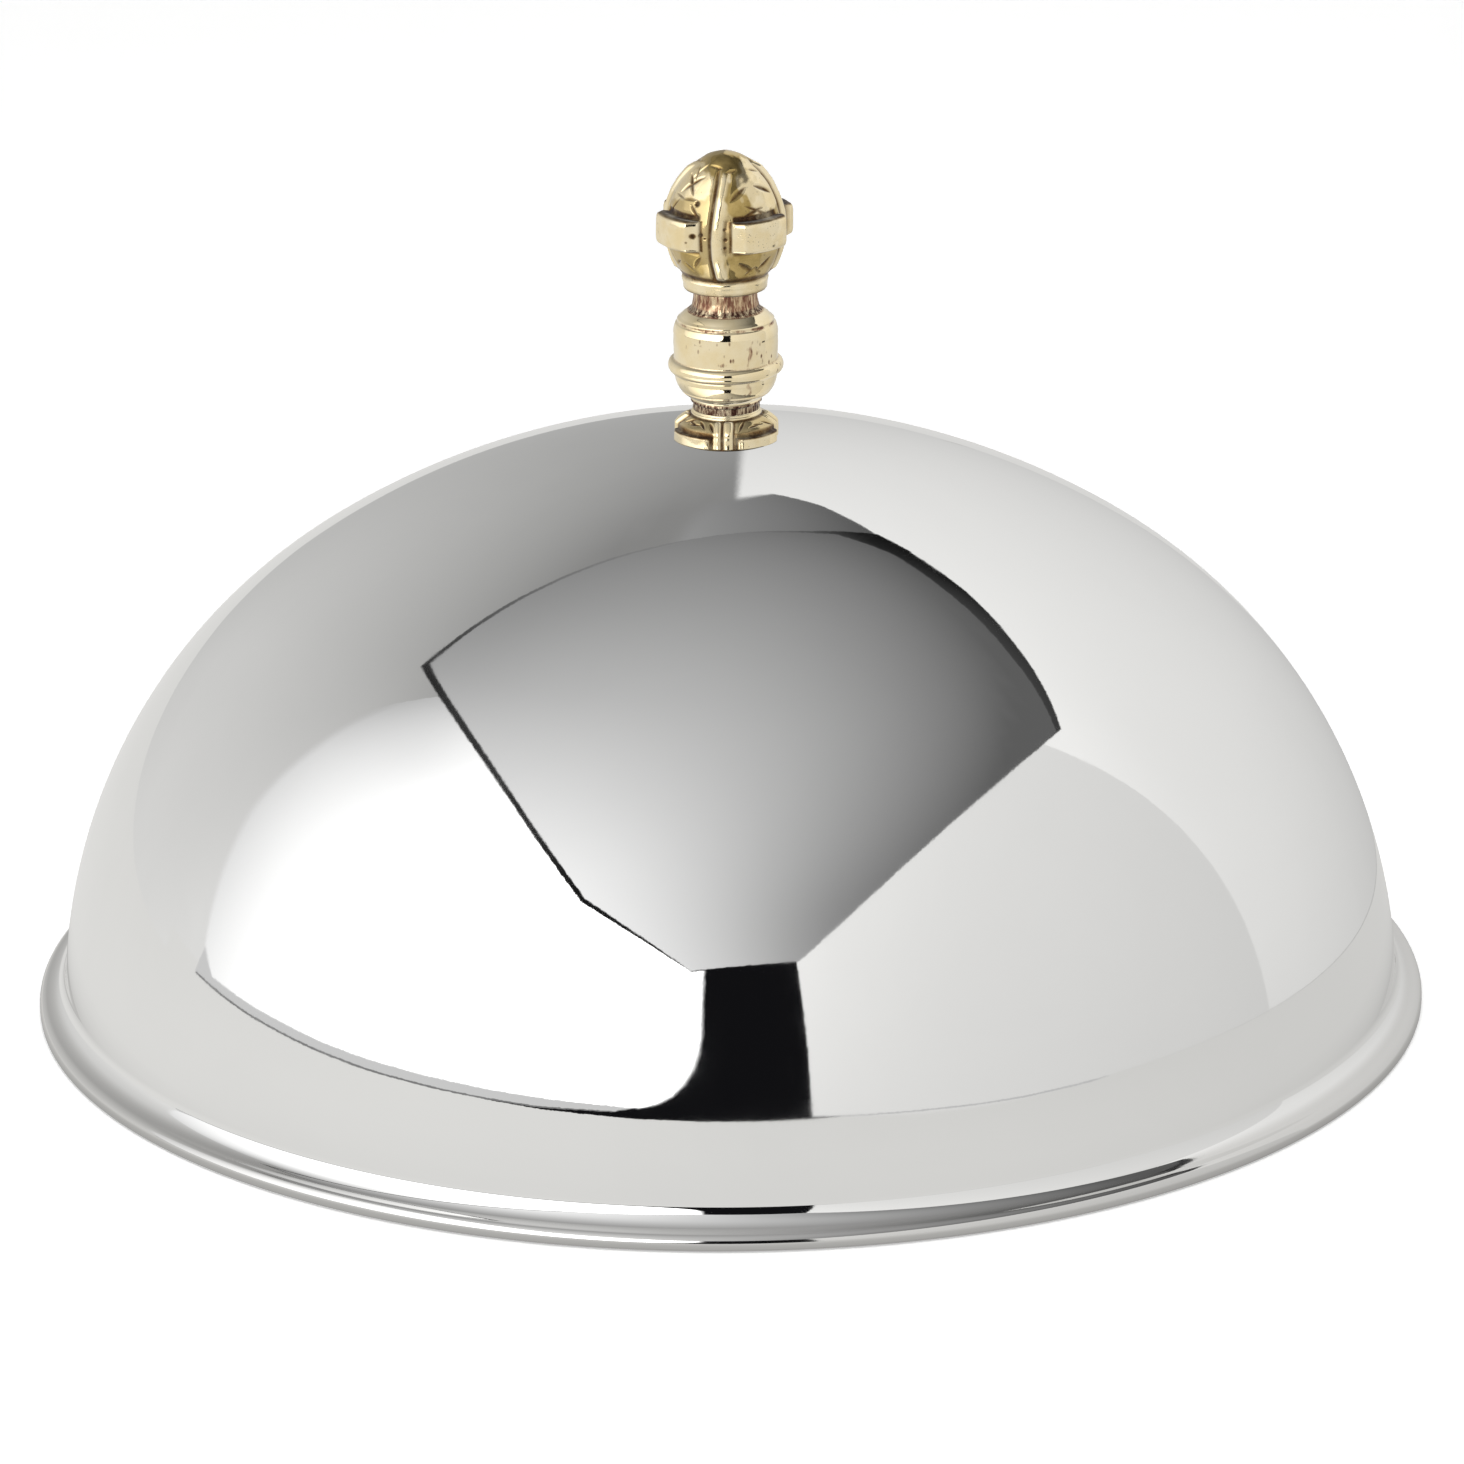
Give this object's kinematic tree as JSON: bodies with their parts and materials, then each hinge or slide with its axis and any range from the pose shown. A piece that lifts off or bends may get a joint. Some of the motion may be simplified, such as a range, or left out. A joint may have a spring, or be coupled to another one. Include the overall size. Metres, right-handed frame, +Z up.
{
  "type": "domed food cover",
  "caption": "Mirror-polished spun steel serving dome with a turned-down rim and a cast brass knob clamped through its crown.",
  "frame": {"origin": "centre of the circle that the rim's cut edge makes, in the plane of the table the cover stands on", "axes": "+Z up along the dome's axis, through the stud and the finial; -Y towards the front, where the finial's front rib is; +X to the right seen from the front"},
  "size_m": [0.3, 0.3, 0.1865],
  "materials": {
    "polished_steel": "mirror-polished stainless steel with faint wiping marks",
    "cast_brass": "cast brass, polished on its high places, with casting pits and brown patina in its recesses",
    "turned_brass": "turned and buffed brass, with unpolished copper-brown necks",
    "zinc_plated_steel": "bright zinc plate on pressed steel",
    "nickel_plated_steel": "nickel-plated steel cap nut"
  },
  "bodies": {
    "root": {"dome_shell": "polished_steel", "finial_foot": "cast_brass", "finial_barrel": "turned_brass", "finial_head": "cast_brass", "stud": "zinc_plated_steel", "backing_washer": "zinc_plated_steel", "lock_washer": "zinc_plated_steel", "cap_nut": "nickel_plated_steel"}
  },
  "joints": []
}
